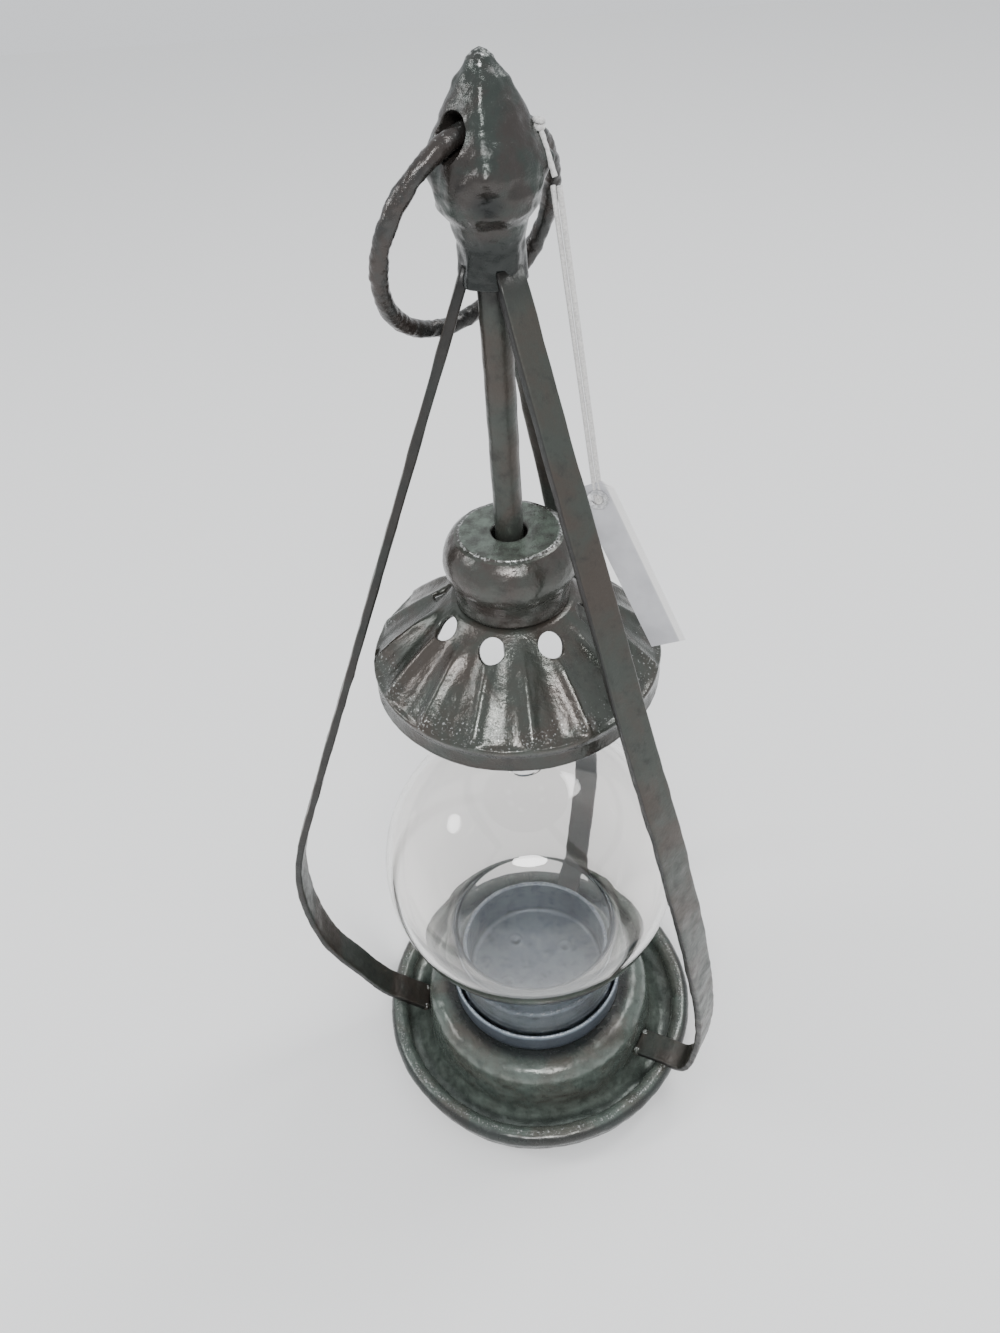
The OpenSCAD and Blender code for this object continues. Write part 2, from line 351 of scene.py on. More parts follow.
def antique_metal(name, green, brown, dark, bright, patch=14, rough=0.34, relief=0.05, top=None,
                  metal=0.55):
    """Dark lacquered metal: green and brown patches, darkened where the stored shade value is high (real dirt
    in some places, painted shade in others), with fine dents that break up the highlights and bright specks
    where the stored wear value is high (real wear in some places, painted highlights in others). top is the
    colour of the part painted 'top'."""
    look = Look(name)
    patches = look.noise(patch, detail=5, roughness=0.6, distortion=0.4)
    mottle = look.noise(3.2, detail=6, roughness=0.65)
    grain = look.noise(0.7, detail=3, roughness=0.6)
    specks = look.noise(0.5, detail=2, roughness=0.5)
    # painted highlight: bright specks where the stored wear value is high; real wear in some places, painted
    # glints in others
    worn = look.stored("worn")
    colour = look.mix(look.ramp(patches, 0.40, 0.62), green, brown)
    colour = look.mix(look.ramp(mottle, 0.48, 0.78, 0.0, 0.55), colour, dark)
    # painted light: on the dish the 'top' value lightens the valley, which would be in shade; on the knob it
    # colours the flat top
    if top:
        colour = look.mix(look.stored("top"), colour, look.mix(look.ramp(mottle, 0.3, 0.7), top, green))
    # painted shade: darkened towards the dark colour where the stored shade value is high; real dirt in some
    # places, painted shade in others
    colour = look.mix(look.ramp(look.stored("grime"), 0.05, 1.0, 0.0, 0.9), colour, dark)
    level = look.math("ADD", look.math("MULTIPLY", worn, 0.42), look.math("MULTIPLY", mottle, 0.2))
    shine = look.ramp(look.math("ADD", specks, level), 0.94, 1.12)
    colour = look.mix(shine, colour, bright)
    look.set(Base_Color=colour, Metallic=metal)
    roughness = look.ramp(mottle, 0.30, 0.72, rough - 0.08, rough + 0.14)
    look.set(Roughness=look.math("SUBTRACT", roughness, look.math("MULTIPLY", worn, 0.06)))
    normal = look.bumpy(mottle, relief * 2.2)
    look.set(Normal=look.bumpy(grain, relief, normal))
    look.set(Coat_Weight=0.12, Coat_Roughness=0.2)
    return look.material


def glass():
    """Clear glass with a faint warm tint and a few smears."""
    look = Look("clear_glass")
    faint = look.noise(9, detail=3, roughness=0.5)
    smear = look.ramp(look.noise(14, detail=4, roughness=0.6), 0.45, 0.8, 0.0, 0.05)
    look.set(Base_Color=(0.975, 0.962, 0.948), Transmission_Weight=1.0, IOR=1.45)
    look.set(Roughness=smear, Normal=look.bumpy(faint, 0.012))
    return look.material


def thread():
    look = Look("white_thread")
    fibre = look.noise(0.35, detail=4, roughness=0.7)
    look.set(Base_Color=look.mix(look.ramp(fibre, 0.3, 0.8), (0.66, 0.65, 0.63), (0.36, 0.355, 0.35)))
    look.set(Roughness=0.85, Sheen_Weight=0.3, Normal=look.bumpy(fibre, 0.08))
    return look.material


def card():
    look = Look("tag_card")
    soft = look.noise(6, detail=4)
    fibre = look.noise(0.5, detail=5, roughness=0.7)
    colour = look.mix(look.ramp(soft, 0.3, 0.75), (0.50, 0.50, 0.52), (0.40, 0.40, 0.42))
    colour = look.mix(look.stored("edge"), colour, (0.78, 0.77, 0.76))
    look.set(Base_Color=colour, Roughness=look.ramp(soft, 0.3, 0.7, 0.42, 0.60))
    look.set(Normal=look.bumpy(fibre, 0.03))
    return look.material


def eyelet():
    look = Look("eyelet_metal")
    scuff = look.noise(0.8, detail=4)
    look.set(Base_Color=look.mix(look.ramp(scuff, 0.4, 0.7), (0.75, 0.75, 0.76), (0.45, 0.45, 0.46)))
    look.set(Metallic=1.0, Roughness=look.ramp(scuff, 0.3, 0.7, 0.25, 0.45), Normal=look.bumpy(scuff, 0.02))
    return look.material


PEWTER = (0.36, 0.37, 0.36)
METALS = {
    "dish": antique_metal(
        "dish_metal", green=(0.072, 0.090, 0.078), brown=(0.070, 0.062, 0.052), dark=(0.010, 0.012, 0.012),
        # top: painted light, a lighter sage for the dish's valley, which would otherwise be in shade
        bright=PEWTER, patch=12, rough=0.24, top=(0.17, 0.205, 0.18), metal=0.25),
    "cup": antique_metal(
        "cup_metal", green=(0.24, 0.285, 0.325), brown=(0.19, 0.225, 0.27), dark=(0.055, 0.065, 0.08),
        bright=(0.5, 0.53, 0.57), patch=7, rough=0.46, relief=0.04),
    "strap": antique_metal(
        "strap_metal", green=(0.042, 0.048, 0.041), brown=(0.050, 0.041, 0.034), dark=(0.010, 0.010, 0.010),
        bright=(0.20, 0.175, 0.15), patch=16, rough=0.38, relief=0.07, metal=0.4),
    "cast": antique_metal(
        "cast_metal", green=(0.028, 0.036, 0.031), brown=(0.034, 0.029, 0.026), dark=(0.007, 0.008, 0.008),
        bright=PEWTER, patch=7, rough=0.20, relief=0.09, metal=0.4),
    "ring": antique_metal(
        "ring_metal", green=(0.038, 0.039, 0.037), brown=(0.042, 0.034, 0.030), dark=(0.008, 0.008, 0.008),
        bright=PEWTER, patch=5, rough=0.22, relief=0.10, metal=0.4),
    "hood": antique_metal(
        "hood_metal", green=(0.048, 0.054, 0.046), brown=(0.054, 0.045, 0.038), dark=(0.010, 0.010, 0.010),
        bright=PEWTER, patch=12, rough=0.20, relief=0.07, metal=0.4),
    "knob": antique_metal(
        "knob_metal", green=(0.052, 0.055, 0.048), brown=(0.052, 0.044, 0.039), dark=(0.012, 0.012, 0.011),
        bright=PEWTER, patch=9, rough=0.22, relief=0.06, top=(0.15, 0.185, 0.155), metal=0.4),
}


def finish_piece(piece, material, slot, body, *nodes):
    """Gives a piece its material, its body and the CAD nodes that it stands for. slot is not used."""
    piece.data.materials.clear()
    piece.data.materials.append(material)
    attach(piece, body)
    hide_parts(*nodes)


def dress(node, material):
    """Gives its material to a CAD node that is kept as it is."""
    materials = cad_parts[node].data.materials
    materials.clear()
    materials.append(material)


# ---------------------------------------------------------------- string

def string_point(side, t):
    """Point on one of the two strands, side -1 or 1, from the bud (t = 0) to the eyelet (t = 1)."""
    away = Vector((math.cos(math.radians(TAG_AZ)), math.sin(math.radians(TAG_AZ)), 0))
    gap = away * (0.50 - 0.02 * t)
    top = BUD_P + (EYE_P - BUD_P).normalized() * 1.2
    return top.lerp(EYE_P, t) + side * gap


def twisted_tube(name, path, radius):
    """A thread of two twisted plies along a path."""
    sides = 18
    pitch = 2.6
    path = [Vector(p) for p in path]
    rings, run = [], 0.0
    across = Vector((0.3, 1, 0.1)).normalized()
    for i, p in enumerate(path):
        ahead = direction(path, i)
        across = (across - ahead * across.dot(ahead)).normalized()
        other = ahead.cross(across)
        if i:
            run += (p - path[i - 1]).length
        ring = []
        for j in range(sides):
            a = TAU * j / sides
            r = radius * (0.80 + 0.20 * abs(math.cos(a - TAU * run / pitch)))
            ring.append(p + across * (r * math.cos(a)) + other * (r * math.sin(a)))
        rings.append(ring)
    tube = rings_to_mesh(name, rings)
    face_outwards(tube)
    return tube


# ---------------------------------------------------------------- dish, gallery and cup

def wall_angle():
    """Direction, in degrees, of the normal of the dish's straight wall between shoulder and valley."""
    run = (VALLEY[0] - SHOULDER[0], VALLEY[1] - SHOULDER[1])
    return math.degrees(math.atan2(run[1], run[0]) + math.acos(2 * BEND_IN_R / math.hypot(*run)))


def dish_shape(r, z, a):
    """Hand-pressed dish, which isn't quite round or flat."""
    out = r / DISH_R
    r += (0.22 * math.sin(3 * a + 1.0) + 0.12 * math.sin(7 * a + 2.0)) * out ** 3 - 0.1 * out
    z += (0.16 * math.sin(2 * a + 0.6) + 0.08 * math.sin(5 * a)) * out ** 3
    return r, max(z, 0.0)


def make_dish():
    wall = wall_angle()
    top = evenly([(0.6, CROWN_Z), (SHOULDER[0], CROWN_Z)], 2.5)[:-1]
    top += arc(SHOULDER, BEND_IN_R, 90, wall, 14)
    top += arc(VALLEY, BEND_IN_R, wall + 180, 352, 34)
    top += arc(BEAD, BEAD_R, 240, -40, 34)
    top += arc(VALLEY, BEND_IN_R + SHEET, 352, wall + 180, 34)
    top += arc(SHOULDER, BEND_IN_R - SHEET, wall, 90, 10)
    top += evenly([(SHOULDER[0], CROWN_Z - SHEET), (0.6, CROWN_Z - SHEET)], 2.5)[1:]
    dish = lathe("dish", evenly(top, 0.7), 300, shape=dish_shape)

    def beaten(p):
        return smoothstep(24, 30, math.hypot(p.x, p.y)) * smoothstep(0.2, 1.2, p.z)

    hammered(dish, 0.16, 5.0, 1, beaten)
    hammered(dish, 0.10, 1.8, 2, beaten)

    # painted highlight: a bright line along the bead's crest and a band on the boss's shoulder, where the
    # lamp glints
    def worn(p, n):
        r = math.hypot(p.x, p.y)
        bead = bump(math.hypot(r - BEAD[0], p.z - BEAD[1] - BEAD_R), 1.5)
        shoulder = bump(math.hypot(r - SHOULDER[0] - 3.4, p.z - SHOULDER[1] - 3.6), 2.2)
        return 0.75 * bead + 0.35 * shoulder

    # painted shade: a shadow under the gallery, the dark outer side of the bead and the underside; a faint
    # darker ring on the boss wall
    def grime(p, n):
        r = math.hypot(p.x, p.y)
        under_gallery = bump(r - 25.5, 2.4) * smoothstep(19, 21, p.z)
        outside = smoothstep(BEAD[0] + 0.4, BEAD[0] + 1.6, r)
        ring = 0.12 * bump(r - 34.5, 1.4)
        return under_gallery + 0.8 * outside + ring + (0.6 if n.z < -0.3 else 0.0)

    # painted light: the valley floor gets the lighter 'top' colour, lifting the shade that falls in the
    # channel
    def valley(p, n):
        return 0.9 * bump(math.hypot(p.x, p.y) - 37, 5.5) * smoothstep(0.0, 0.3, n.z + 0.1)

    paint(dish, "worn", worn)
    paint(dish, "grime", grime)
    paint(dish, "top", valley)
    finish_piece(dish, METALS["dish"], "dish_metal", "lantern_frame", "base_dish")


def make_gallery():
    wall_top = GALLERY_TOP - 0.4
    foot = [(0.6, CROWN_Z), (GALLERY_R - 0.3, CROWN_Z), (GALLERY_R, CROWN_Z + 0.3)]
    outline = evenly(foot + [(GALLERY_R, wall_top)], 1.2)
    outline += arc((GALLERY_R - 0.4, wall_top), 0.4, 20, 160, 7)
    outline += evenly([(GALLERY_IN_R, wall_top), (GALLERY_IN_R, GALLERY_FLOOR + 0.5)], 1.2)
    outline += arc((GALLERY_IN_R - 0.5, GALLERY_FLOOR + 0.5), 0.5, 0, -90, 5)
    outline += evenly([(GALLERY_IN_R - 0.6, GALLERY_FLOOR), (0.6, GALLERY_FLOOR - 0.02)], 2.0)
    gallery = lathe("gallery_ring", outline, 240)

    def on_wall(p):
        return smoothstep(23, 24.5, math.hypot(p.x, p.y)) * smoothstep(22, 24, p.z)

    hammered(gallery, 0.10, 3.5, 3, on_wall)
    # painted highlight: the gallery's top edge is painted bright
    paint(gallery, "worn", lambda p, n: 0.9 * smoothstep(GALLERY_TOP - 0.6, GALLERY_TOP, p.z))

    # painted shade: the outer wall below the top edge and the lower part, shaded by the flange above
    def grime(p, n):
        outside = smoothstep(GALLERY_R - 0.35, GALLERY_R - 0.1, math.hypot(p.x, p.y))
        below_edge = 1 - smoothstep(GALLERY_TOP - 1.2, GALLERY_TOP - 0.5, p.z)
        return max(outside * below_edge, 0.7 * (1 - smoothstep(22.5, 25, p.z)))

    paint(gallery, "grime", grime)
    finish_piece(gallery, METALS["cup"], "cup_metal", "lantern_frame", "gallery")


DIMPLE_RING = 11
DIMPLE_R = 1.5


def make_cup():
    lip = (CUP_OUT_R - 0.72, CUP_TOP - 0.7)
    corner = 1.6
    outline = evenly([(0.5, CUP_FLOOR), (CUP_R - corner, CUP_FLOOR)], 0.5)
    outline += arc((CUP_R - corner, CUP_FLOOR + corner), corner, -80, 0, 8)
    outline += evenly([(CUP_R, CUP_FLOOR + 2.2), (CUP_R, lip[1] - 0.3)], 0.9)
    outline += arc(lip, 0.7, 165, -60, 14)
    outline += evenly([(CUP_R + 0.7, lip[1] - 0.9), (CUP_R + 0.7, CUP_FOOT + 0.6)], 0.9)
    outline += evenly([(CUP_R, CUP_FOOT + 0.02), (0.5, CUP_FOOT + 0.02)], 2.5)
    dents = [Vector((DIMPLE_RING * math.cos(a), DIMPLE_RING * math.sin(a), CUP_FLOOR))
             for a in (math.radians(35 + 90 * i) for i in range(4))]

    def pressed(r, z, a):
        if abs(z - CUP_FLOOR) > 0.01 or r > CUP_R - corner:
            return r + 0.10 * math.sin(3 * a + 0.4), z
        p = Vector((r * math.cos(a), r * math.sin(a), CUP_FLOOR))
        for dent in dents:
            d = (p - dent).length
            z += -0.55 * bump(d, DIMPLE_R * 0.6) + 0.22 * bump(d - DIMPLE_R * 1.2, 0.45)
        return r, z + 0.10 * noise.noise(p / 4.5)

    cup = lathe("tealight_cup", outline, 240, shape=pressed)
    hammered(cup, 0.14, 4.0, 5, lambda p: smoothstep(24.5, 27, p.z))
    paint(cup, "worn", lambda p, n: 0.8 * smoothstep(CUP_TOP - 0.5, CUP_TOP, p.z))

    # painted shade in the corner where the floor meets the wall; darker round the dimples
    def grime(p, n):
        corner_shade = bump(p.z - CUP_FLOOR - 0.8, 0.9) * smoothstep(17.5, 20.3, math.hypot(p.x, p.y))
        return 0.55 * corner_shade + max(0.6 * bump((p - dent).length, 1.0) for dent in dents)

    paint(cup, "grime", grime)
    finish_piece(cup, METALS["cup"], "cup_metal", "lantern_frame", "candle_cup")


# ---------------------------------------------------------------- glass globe

def make_globe():
    fillet_x = COLLAR_R + FILLET
    fillet_z = -math.sqrt((GLOBE_R + FILLET) ** 2 - fillet_x ** 2)
    lean = math.degrees(math.atan2(-fillet_z, fillet_x))
    fillet = (fillet_x, GLOBE_Z + fillet_z)
    ball = (0, GLOBE_Z)
    top_out = math.degrees(CHIMNEY_A)
    top_in = math.degrees(math.acos((CHIMNEY_R + 0.1) / (GLOBE_R - GLASS)))
    half = GLASS / 2
    outline = evenly([(COLLAR_R, GLOBE_FOOT + half), (COLLAR_R, fillet[1])], 1.2)[:-1]
    outline += arc(fillet, FILLET, 180, 180 - lean, 16)[:-1]
    outline += arc(ball, GLOBE_R, -lean, top_out - 1.2, 90)
    lip_a = math.radians(top_out - 1.2)
    lip = ((GLOBE_R - half) * math.cos(lip_a), GLOBE_Z + (GLOBE_R - half) * math.sin(lip_a))
    outline += arc(lip, half, top_out, top_out + 180, 9)[1:-1]
    outline += arc(ball, GLOBE_R - GLASS, top_in - 1.2, -lean, 90)
    outline += arc(fillet, FILLET + GLASS, 180 - lean, 180, 16)[1:]
    outline += evenly([(COLLAR_R - GLASS, fillet[1]), (COLLAR_R - GLASS, GLOBE_FOOT + half)], 1.2)[1:]
    outline += arc((COLLAR_R - half, GLOBE_FOOT + half), half, 180, 360, 9)[1:-1]
    globe = lathe("glass_ball", outline, 240, loop=True)
    finish_piece(globe, glass(), "globe_glass", "globe", "glass_globe")


# ---------------------------------------------------------------- straps and welds

def heading(angle):
    """Unit vector at an angle in radians."""
    return Vector((math.cos(angle), math.sin(angle)))


def strap_land(slope):
    """Where the centre of a strap crosses the dish's bead, as (radius, height)."""
    return Vector(BEAD) + (BEAD_R + STRAP_T / 2 + 0.02) * heading(slope + math.pi / 2)


def foot_end(slope, end_r, back=0.0):
    """End of a strap's foot, or the point back mm before it."""
    land = strap_land(slope)
    return land - ((land.x - end_r) / math.cos(slope) - back) * heading(slope)


def smooth_line(points, steps):
    """Smooth line through points, with the given number of pieces between each two."""
    ends = [2 * points[0] - points[1]] + points + [2 * points[-1] - points[-2]]
    line = []
    for a, b, c, d in zip(ends, ends[1:], ends[2:], ends[3:]):
        for i in range(steps):
            t = i / steps
            line.append(b + (c - a) * (t / 2) + (2 * a - 5 * b + 4 * c - d) * (t * t / 2)
                        + (3 * b - a - 3 * c + d) * (t ** 3 / 2))
    return line + [points[-1]]


def strap_line(slope, end_r, radii):
    """Centre line of a strap from the finial to its foot, as (radius, height)."""
    slope = math.radians(slope)
    land = strap_land(slope)
    points = [Vector(STRAP_TOP)] + [Vector(p) for p in zip(radii, BEND_Z)]
    return smooth_line(points + [land + FOOT_PAST * heading(slope), land, foot_end(slope, end_r)], 24)


def strap_section(width, thick):
    """Rounded bar: (across, through) points."""
    corner = 0.42
    flat_steps = 8
    x, y = width / 2 - corner, thick / 2 - corner
    points = []
    for turn, side in enumerate((1, -1)):
        points += arc((side * x, side * y), corner, 180 * turn, 180 * turn + 90, 4)
        points += [(side * x * (1 - 2 * i / flat_steps), side * thick / 2) for i in range(1, flat_steps)]
        points += arc((-side * x, side * y), corner, 180 * turn + 90, 180 * turn + 180, 4)
        points.append((-side * width / 2, 0.0))
    return points


def make_strap(node, seed):
    """Flat strip along its own line, slowly twisted from its direction at the rim to the finial's."""
    high_az, low_az, slope, end_r, radii = STRAPS[node]
    line = strap_line(slope, end_r, radii)

    def sideways(z):
        t = min(1.0, max(0.0, (z - TWIST_LOW) / (TWIST_HIGH - TWIST_LOW)))
        az = math.radians(low_az + (high_az - low_az) * (1 - math.cos(math.pi * t)) / 2)
        return Vector((-math.sin(az), math.cos(az), 0))

    rings = []
    for i, p in enumerate(line):
        ahead = direction(line, i)
        side = sideways(p.y)
        out = Vector((side.y, -side.x, 0))
        normal = out * -ahead.y + Vector((0, 0, ahead.x))
        up = max(0.0, p.y - TAPER_LOW) / (STRAP_TOP[1] - TAPER_LOW)
        width = STRAP_W + (STRAP_W_TOP - STRAP_W) * up
        middle = out * p.x + Vector((0, 0, p.y))
        rings.append([middle + side * u + normal * v for u, v in strap_section(width, STRAP_T)])
    strap = rings_to_mesh(node + "_strip", rings)
    face_outwards(strap)
    hammered(strap, 0.22, 6.0, seed)
    hammered(strap, 0.10, 1.6, seed + 1)

    def edge(p, n):
        return smoothstep(0.5, 0.95, abs(n.dot(sideways(p.z))))

    paint(strap, "worn", lambda p, n: 0.25 * edge(p, n) + 0.3 * bump(p.z - 20, 12))
    paint(strap, "grime", lambda p, n: 0.8 * smoothstep(226, 236, p.z) + 0.75 * edge(p, n))
    finish_piece(strap, METALS["strap"], "strap_metal", "lantern_frame", node)


def make_welds():
    """Small lumps of weld where the straps end on the dish."""
    points, faces = [], []
    rows, cols, size = 18, 28, 1.4
    for _, az, slope, end_r, _ in STRAPS.values():
        place = foot_end(math.radians(slope), end_r, 0.6)
        for side in (-1, 1):
            out = heading(math.radians(az)).to_3d()
            across = Vector((-out.y, out.x, 0))
            centre = out * place.x + across * (side * (STRAP_W / 2 - 1)) + Vector((0, 0, place.y))
            base = len(points)
            for i in range(rows + 1):
                for j in range(cols):
                    lat, lon = math.pi * i / rows, TAU * j / cols
                    d = Vector((math.sin(lat) * math.cos(lon), math.sin(lat) * math.sin(lon), math.cos(lat)))
                    r = size * (0.92 + 0.16 * noise.noise(d * 2.2 + centre))
                    points.append(centre + Vector((d.x * r, d.y * r, d.z * r * 0.9)))
            for i in range(rows):
                for j in range(cols):
                    k = (j + 1) % cols
                    a, b = base + i * cols, base + (i + 1) * cols
                    faces.append((a + j, a + k, b + k, b + j))
    welds = new_object("weld_lumps", points, faces)
    join_close_points(welds)
    face_outwards(welds)
    # painted highlight on the upper faces, painted shade on the lower faces
    paint(welds, "worn", lambda p, n: 0.9 * smoothstep(0.2, 0.9, n.z))
    paint(welds, "grime", lambda p, n: 0.3 * smoothstep(0.2, -0.6, n.z))
    finish_piece(welds, METALS["dish"], "dish_metal", "lantern_frame", "foot_welds")


def join_close_points(thing):
    """Joins points that lie on one another."""
    work = bmesh.new()
    work.from_mesh(thing.data)
    bmesh.ops.remove_doubles(work, verts=work.verts, dist=1e-6)
    work.to_mesh(thing.data)
    work.free()


# ---------------------------------------------------------------- rod, stop and hood

def make_rod():
    outline = [(0.4, ROD_FOOT), (ROD_R - 0.5, ROD_FOOT), (ROD_R, ROD_FOOT + 0.5)]
    outline += [(ROD_R, ROD_TOP - 0.1), (0.4, ROD_TOP - 0.1)]

    def squared(r, z, a):
        return r - 0.05 * (1 + math.cos(4 * a)) * r / ROD_R, z

    rod = lathe("centre_bar", evenly(outline, 0.9), 72, shape=squared)
    hammered(rod, 0.14, 4.0, 21, lambda p: 0.0 if p.z < ROD_FOOT + 1 else 1.0)
    paint(rod, "worn", lambda p, n: 0.15)
    paint(rod, "grime", lambda p, n: 0.8 * smoothstep(222, 234, p.z) + 0.35 * bump(p.z - KNOB_TOP, 2.0))
    finish_piece(rod, METALS["strap"], "strap_metal", "lantern_frame", "centre_rod")


RIBS = 16
VENT_R = 2.7
VENT_AZ = math.radians(-62)
BAND_H = 5.3
CONE_HEAD = (12.5, HOOD_TOP)
GUIDE_R = 3.4


def hood_outer(t):
    """Outer side of the hood's skirt from the band (t = 0) to the crown (t = 1), a little bell-shaped."""
    foot = (HOOD_R - 0.9, HOOD_Z + BAND_H + 0.7)
    r = foot[0] + (CONE_HEAD[0] - foot[0]) * t
    z = foot[1] + (CONE_HEAD[1] - foot[1]) * t
    swell = 0.7 * math.sin(math.pi * t) * (1 - t)
    return r + swell * 0.75, z + swell * 0.6


def from_rib(a):
    """Angle from the nearest rib."""
    step = TAU / RIBS
    return abs(turn_from(a, VENT_AZ + round((a - VENT_AZ) / step) * step))


def hood_shape(r, z, a):
    """Narrow ribs on the skirt that fade into the band and the crown."""
    t = (z - HOOD_Z - BAND_H) / (HOOD_TOP - HOOD_Z - BAND_H)
    fade = smoothstep(0.0, 0.10, t) * (1 - smoothstep(0.60, 0.95, t))
    step = TAU / RIBS
    off = from_rib(a) * r
    lift = 0.95 * bump(off, 1.35) - 0.35 * bump(off - step * r / 2, 1.6)
    r += lift * fade
    z += 0.5 * lift * fade
    rim = bump(z - HOOD_Z, 4.0)
    return r - 0.12 + rim * (0.10 * math.sin(4 * a + 1) + 0.06 * math.sin(9 * a)), max(z, HOOD_Z)


def make_hood():
    thick = 1.1
    crown = [(GUIDE_R, HOOD_TOP - thick), (GUIDE_R, HOOD_TOP - 0.05), (CONE_HEAD[0] - 1.2, HOOD_TOP - 0.05)]
    outline = evenly(crown, 0.8)
    outline += [hood_outer(1 - i / 44) for i in range(45)]
    outline += arc((HOOD_R - 0.75, HOOD_Z + BAND_H - 0.1), 0.75, 60, -10, 6)
    outline += arc((HOOD_R + 0.9, HOOD_Z + BAND_H - 1.9), 1.3, 150, 190, 5)
    outline += evenly([(HOOD_R - 0.35, HOOD_Z + 2.6), (HOOD_R - 0.1, HOOD_Z + 0.7)], 0.5)
    outline += arc((HOOD_R - 0.6, HOOD_Z + 0.55), 0.55, 0, -180, 9)
    outline += evenly([(HOOD_R - thick - 0.1, HOOD_Z + 1.2), (HOOD_R - thick - 0.2, HOOD_Z + BAND_H)], 0.7)
    inner = [hood_outer(i / 44) for i in range(45)]
    inner = [(r - thick * 0.72, z - thick * 0.82) for r, z in inner if r > 11.9]
    outline += [point for point in inner if point[1] > HOOD_Z + BAND_H]
    outline += evenly([(CONE_HEAD[0] - 1.4, HOOD_TOP - thick), (GUIDE_R + 0.3, HOOD_TOP - thick)], 0.8)
    hood = lathe("fluted_hood", outline, 432, loop=True, shape=hood_shape)
    slope = math.atan2(CONE_HEAD[1] - HOOD_Z - BAND_H, HOOD_R - CONE_HEAD[0])
    cutters = []
    for i in range(RIBS // 2):
        a = VENT_AZ + TAU * i * 2 / RIBS
        r, z = hood_outer(0.83)
        lean = Matrix.Translation((r * MM, 0, z * MM)) @ Matrix.Rotation(math.pi / 2 - slope, 4, "Y")
        drill = lathe("vent_drill", [(0.4, -4), (VENT_R, -4), (VENT_R, 4), (0.4, 4)], 40)
        drill.data.transform(Matrix.Rotation(a, 4, "Z") @ lean)
        cutters.append(drill)
    cut(hood, cutters)

    def on_cone(p):
        return smoothstep(12, 15, math.hypot(p.x, p.y))

    hammered(hood, 0.10, 4.5, 31, on_cone)
    hammered(hood, 0.04, 1.3, 32, on_cone)

    def rib_crest(p):
        return bump(from_rib(math.atan2(p.y, p.x)) * math.hypot(p.x, p.y), 1.5)

    # painted highlights: bright specks low on the skirt, on the rib crests and along the ridge above the band
    def worn(p, n):
        low = 1 - smoothstep(HOOD_Z + 7, HOOD_Z + 15, p.z)
        on_skirt = smoothstep(HOOD_Z + 5, HOOD_Z + 7, p.z)
        ridge = bump(p.z - HOOD_Z - BAND_H - 0.3, 0.6)
        return (0.6 * low + 0.12 * rib_crest(p)) * on_skirt + 0.4 * ridge

    # painted shade on the inside of the hood; darker on the band and at the neck
    def grime(p, n):
        band = 1 - smoothstep(HOOD_Z + 3.6, HOOD_Z + 5.2, p.z)
        neck = smoothstep(HOOD_TOP - 2.5, HOOD_TOP, p.z)
        inside = 0.7 if n.z < -0.2 else 0.0
        return 0.5 * band + 0.12 * neck + inside

    paint(hood, "worn", worn)
    paint(hood, "grime", grime)
    finish_piece(hood, METALS["hood"], "hood_metal", "hood", "hood_skirt")


def make_knob():
    """A ball with a flat top and a short foot, bored for the rod."""
    flat_r = 10.0
    ball_r = 7.15
    foot_r = 11.5
    ball = (KNOB_R - ball_r, KNOB_TOP - 6)
    belly = arc(ball, ball_r, -34, 52, 44)
    outline = evenly([(GUIDE_R, KNOB_FOOT + 0.05), (foot_r - 0.1, KNOB_FOOT + 0.05)], 1.0)[:-1]
    outline += evenly([(foot_r, KNOB_FOOT + 0.2), (foot_r + 0.1, KNOB_FOOT + 3), belly[0]], 0.5)[:-1]
    outline += belly
    outline += arc((flat_r - 0.45, KNOB_TOP - 0.5), 0.5, 30, 90, 6)
    outline += evenly([(flat_r - 0.6, KNOB_TOP), (GUIDE_R + 0.5, KNOB_TOP - 0.15)], 0.8)
    outline += arc((GUIDE_R + 0.5, KNOB_TOP - 0.65), 0.5, 90, 180, 4)
    outline += evenly([(GUIDE_R, KNOB_TOP - 0.9), (GUIDE_R, KNOB_FOOT + 0.4)], 1.2)
    knob = lathe("turned_knob", outline, 180, loop=True)

    def outside(p):
        clear = smoothstep(GUIDE_R + 0.5, GUIDE_R + 2.5, math.hypot(p.x, p.y))
        return clear * smoothstep(0.2, 1.5, p.z - KNOB_FOOT)

    hammered(knob, 0.14, 4.0, 41, outside)
    hammered(knob, 0.07, 1.2, 42, lambda p: smoothstep(9, 11, math.hypot(p.x, p.y)))

    # painted highlight along the edge of the flat top
    def worn(p, n):
        r = math.hypot(p.x, p.y)
        return bump(math.hypot(r - flat_r, p.z - KNOB_TOP + 0.2), 0.6) + 0.1

    # painted shade round the bore; a little darker at the foot
    def grime(p, n):
        r = math.hypot(p.x, p.y)
        foot = 1 - smoothstep(KNOB_FOOT, KNOB_FOOT + 1.5, p.z)
        hole = 0.7 * bump(r - GUIDE_R, 0.5)
        return 0.12 * foot + hole

    def flat_top(p, n):
        return smoothstep(0.85, 0.98, n.z) * smoothstep(KNOB_TOP - 0.9, KNOB_TOP - 0.3, p.z)

    paint(knob, "worn", worn)
    paint(knob, "grime", grime)
    paint(knob, "top", flat_top)
    finish_piece(knob, METALS["knob"], "knob_metal", "hood", "hood_knob")


# ---------------------------------------------------------------- finial and ring

